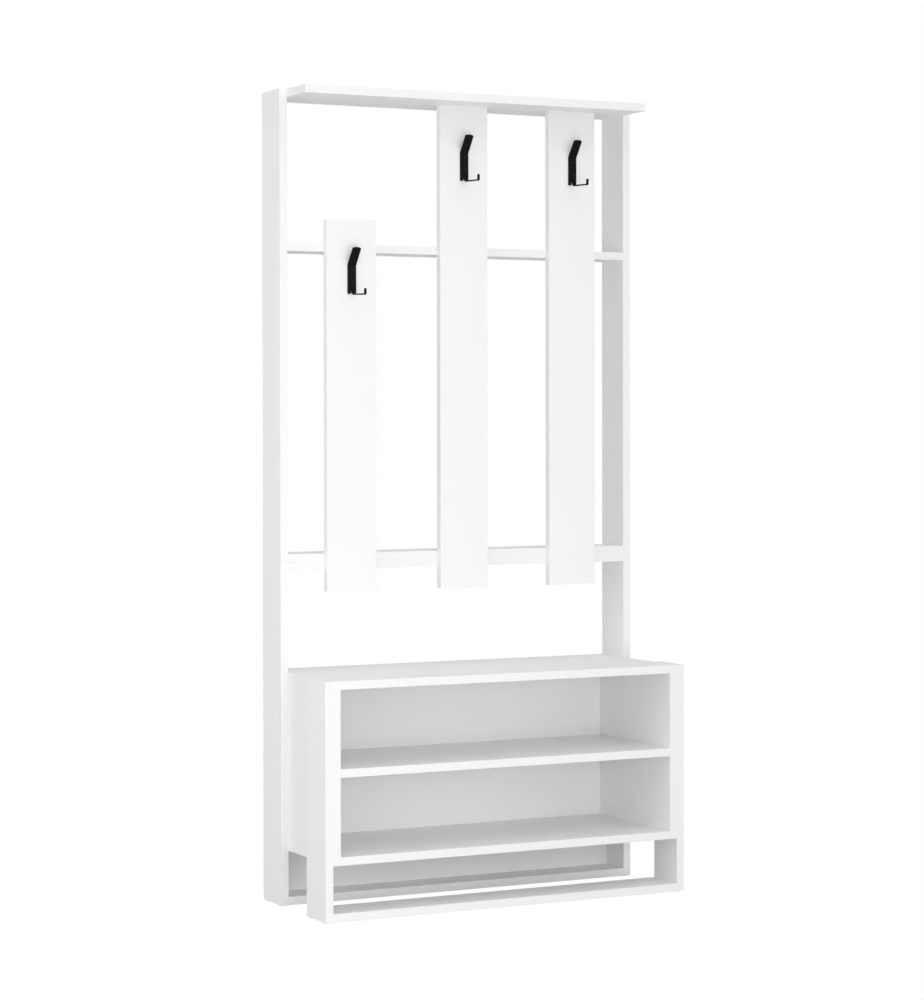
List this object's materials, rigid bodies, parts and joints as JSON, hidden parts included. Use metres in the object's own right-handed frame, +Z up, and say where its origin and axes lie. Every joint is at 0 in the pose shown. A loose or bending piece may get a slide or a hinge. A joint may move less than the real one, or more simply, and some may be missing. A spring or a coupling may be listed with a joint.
{
  "type": "hall stand with coat hooks and shoe bench",
  "caption": "Free-standing white hall stand: hat shelf on tall posts, slats carrying black double coat hooks, and a shoe bench with open shelves below.",
  "frame": {"origin": "on the floor under the middle of the overall box", "axes": "+Z up, -Y out of the front of the bench, +X to the right when facing the stand"},
  "size_m": [0.89, 0.34, 1.802],
  "materials": {
    "white_melamine": "white melamine-faced particle board, smooth satin, white edge banding",
    "white_hardboard": "thin hardboard, white lacquer on the front, matt",
    "black_powder_coat": "fine black powder coat on flat steel",
    "black_screw": "black passivated steel screw",
    "zinc_cam": "die-cast zinc cam lock",
    "white_plastic": "moulded nail-on glide"
  },
  "bodies": {
    "root": {"lower_post_left": "white_melamine", "upper_post_left": "white_melamine", "front_leg_left": "white_melamine", "lower_post_right": "white_melamine", "upper_post_right": "white_melamine", "front_leg_right": "white_melamine", "hat_shelf": "white_melamine", "upper_rail": "white_melamine", "middle_rail_upper": "white_melamine", "middle_rail_lower": "white_melamine", "floor_rail_back": "white_melamine", "floor_rail_front": "white_melamine", "bench_top": "white_melamine", "cabinet_side_left": "white_melamine", "cabinet_side_right": "white_melamine", "shoe_shelf": "white_melamine", "bottom_shelf": "white_melamine", "back_sheet": "white_hardboard", "slat_left": "white_melamine", "hook_left": "black_powder_coat", "hook_screw_left_lower": "black_screw", "hook_screw_left_upper": "black_screw", "slat_middle": "white_melamine", "hook_middle": "black_powder_coat", "hook_screw_middle_lower": "black_screw", "hook_screw_middle_upper": "black_screw", "slat_right": "white_melamine", "hook_right": "black_powder_coat", "hook_screw_right_lower": "black_screw", "hook_screw_right_upper": "black_screw", "hat_shelf_cam_left_1": "zinc_cam", "hat_shelf_cam_left_2": "zinc_cam", "hat_shelf_cam_right_1": "zinc_cam", "hat_shelf_cam_right_2": "zinc_cam", "upper_rail_cam_left": "zinc_cam", "upper_rail_cam_right": "zinc_cam", "middle_rail_upper_cam_left": "zinc_cam", "middle_rail_upper_cam_right": "zinc_cam", "middle_rail_lower_cam_left": "zinc_cam", "middle_rail_lower_cam_right": "zinc_cam", "floor_rail_back_cam_left": "zinc_cam", "floor_rail_back_cam_right": "zinc_cam", "floor_rail_front_cam_left": "zinc_cam", "floor_rail_front_cam_right": "zinc_cam", "post_glide_left_front": "white_plastic", "post_glide_left_back": "white_plastic", "post_glide_right_front": "white_plastic", "post_glide_right_back": "white_plastic", "leg_glide_left_front": "white_plastic", "leg_glide_left_back": "white_plastic", "leg_glide_right_front": "white_plastic", "leg_glide_right_back": "white_plastic"}
  },
  "joints": []
}
